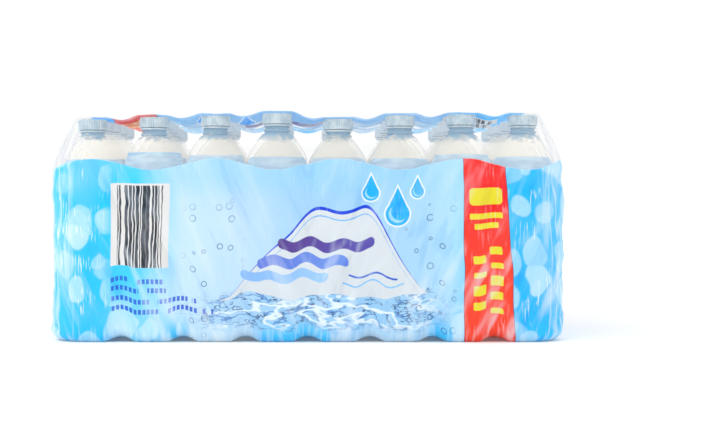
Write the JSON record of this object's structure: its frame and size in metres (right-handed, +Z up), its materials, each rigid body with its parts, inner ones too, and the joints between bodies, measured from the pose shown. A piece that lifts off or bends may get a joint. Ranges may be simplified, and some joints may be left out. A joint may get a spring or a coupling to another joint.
{
  "type": "case of bottled water",
  "caption": "Shrink-wrapped case of half-litre water bottles in a printed clear wrap.",
  "frame": {"origin": "middle of the case's underside, on the surface that it stands on", "axes": "+Z up, +X along the long side, -Y towards the front"},
  "size_m": [0.5106, 0.3102, 0.2281],
  "materials": {
    "clear_bottle": "clear, glossy",
    "white_cap": "translucent white, satin",
    "printed_wrap": "thin clear film with a printed design, glossy"
  },
  "bodies": {
    "root": {"bottle_1_1": "clear_bottle", "bottle_1_2": "clear_bottle", "bottle_1_3": "clear_bottle", "bottle_1_4": "clear_bottle", "bottle_1_5": "clear_bottle", "bottle_1_6": "clear_bottle", "bottle_1_7": "clear_bottle", "bottle_1_8": "clear_bottle", "bottle_2_1": "clear_bottle", "bottle_2_2": "clear_bottle", "bottle_2_3": "clear_bottle", "bottle_2_4": "clear_bottle", "bottle_2_5": "clear_bottle", "bottle_2_6": "clear_bottle", "bottle_2_7": "clear_bottle", "bottle_2_8": "clear_bottle", "bottle_3_1": "clear_bottle", "bottle_3_2": "clear_bottle", "bottle_3_3": "clear_bottle", "bottle_3_4": "clear_bottle", "bottle_3_5": "clear_bottle", "bottle_3_6": "clear_bottle", "bottle_3_7": "clear_bottle", "bottle_3_8": "clear_bottle", "bottle_4_1": "clear_bottle", "bottle_4_2": "clear_bottle", "bottle_4_3": "clear_bottle", "bottle_4_4": "clear_bottle", "bottle_4_5": "clear_bottle", "bottle_4_6": "clear_bottle", "bottle_4_7": "clear_bottle", "bottle_4_8": "clear_bottle", "bottle_5_1": "clear_bottle", "bottle_5_2": "clear_bottle", "bottle_5_3": "clear_bottle", "bottle_5_4": "clear_bottle", "bottle_5_5": "clear_bottle", "bottle_5_6": "clear_bottle", "bottle_5_7": "clear_bottle", "bottle_5_8": "clear_bottle", "cap_1_1": "white_cap", "cap_1_2": "white_cap", "cap_1_3": "white_cap", "cap_1_4": "white_cap", "cap_1_5": "white_cap", "cap_1_6": "white_cap", "cap_1_7": "white_cap", "cap_1_8": "white_cap", "cap_5_1": "white_cap", "cap_5_2": "white_cap", "cap_5_3": "white_cap", "cap_5_4": "white_cap", "cap_5_5": "white_cap", "cap_5_6": "white_cap", "cap_5_7": "white_cap", "cap_5_8": "white_cap", "wrap": "printed_wrap"}
  },
  "joints": []
}
